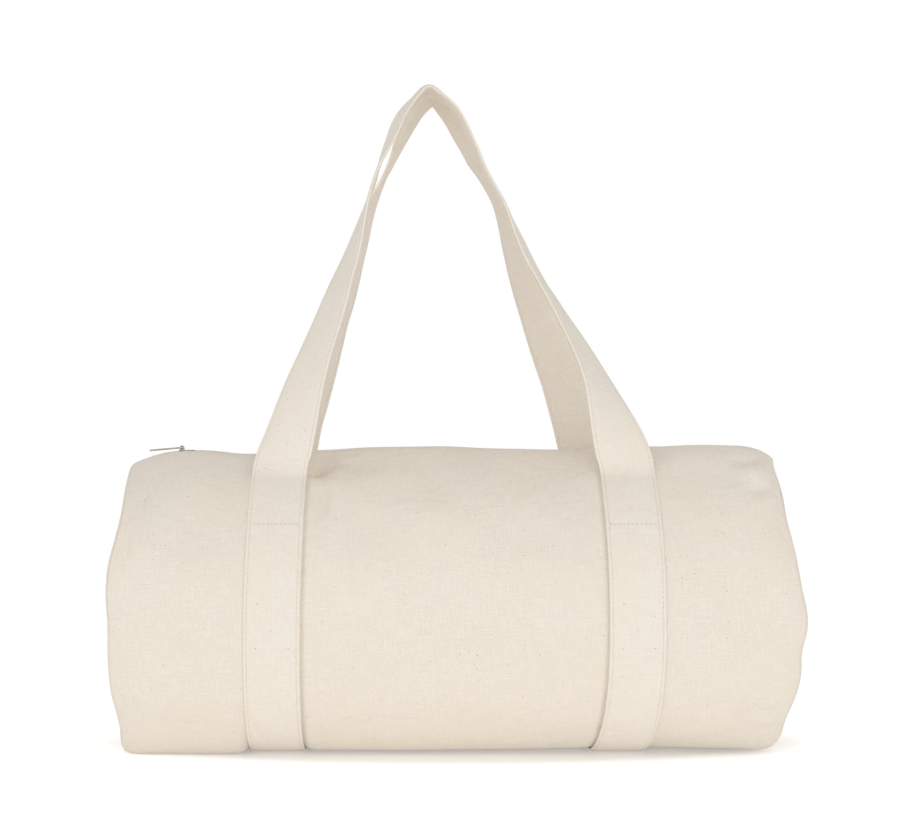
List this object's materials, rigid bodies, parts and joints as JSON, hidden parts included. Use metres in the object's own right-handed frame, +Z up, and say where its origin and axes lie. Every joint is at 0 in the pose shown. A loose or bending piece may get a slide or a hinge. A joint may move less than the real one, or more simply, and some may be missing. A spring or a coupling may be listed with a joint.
{
  "type": "barrel bag",
  "caption": "Canvas barrel bag with a zip along its top and two self-fabric strap handles gathered to a peak.",
  "frame": {"origin": "on the floor under the middle of the bag, at the bottom centre of its bounding box", "axes": "+X along the body towards its right end, +Y from front to back, +Z up"},
  "size_m": [0.5014, 0.2408, 0.4942],
  "materials": {
    "canvas": "undyed cotton canvas, plain weave",
    "strap_canvas": "undyed cotton canvas, folded and topstitched",
    "zip_tape": "woven tape",
    "zip_coil": "satin nylon",
    "nickel": "polished nickel plate"
  },
  "bodies": {
    "bag": {"main_panel": "canvas", "end_panel_left": "canvas", "end_panel_right": "canvas", "end_binding_left": "zip_tape", "end_binding_right": "zip_tape", "zip_tape_front": "zip_tape", "zip_tape_back": "zip_tape", "zip_coil_front": "zip_coil", "zip_coil_back": "zip_coil", "zip_end_tab_left": "canvas", "zip_end_tab_right": "canvas", "zip_top_stops": "nickel", "zip_bottom_stop": "nickel", "strap_band_left": "strap_canvas", "strap_band_right": "strap_canvas"},
    "front_handle": {"handle_front": "strap_canvas"},
    "back_handle": {"handle_back": "strap_canvas"},
    "slider": {"zip_slider": "nickel", "zip_slider_crown": "nickel"},
    "pull": {"zip_pull": "nickel"}
  },
  "joints": [
    {"name": "front_handle_swing", "type": "hinge", "parent": "bag", "child": "front_handle", "pos_m": [0, -0.06886, 0.209], "axis": [1, 0, 0], "range_deg": [0, 120]},
    {"name": "back_handle_swing", "type": "hinge", "parent": "bag", "child": "back_handle", "pos_m": [0, 0.06886, 0.209], "axis": [-1, 0, 0], "range_deg": [0, 120]},
    {"name": "zip_travel", "type": "slide", "parent": "bag", "child": "slider", "axis": [1, 0, 0], "range_m": [0, 0.409]},
    {"name": "pull_swing", "type": "hinge", "parent": "slider", "child": "pull", "pos_m": [-0.2084, 0, 0.22394], "axis": [0, 1, 0], "range_deg": [0, 180]}
  ]
}
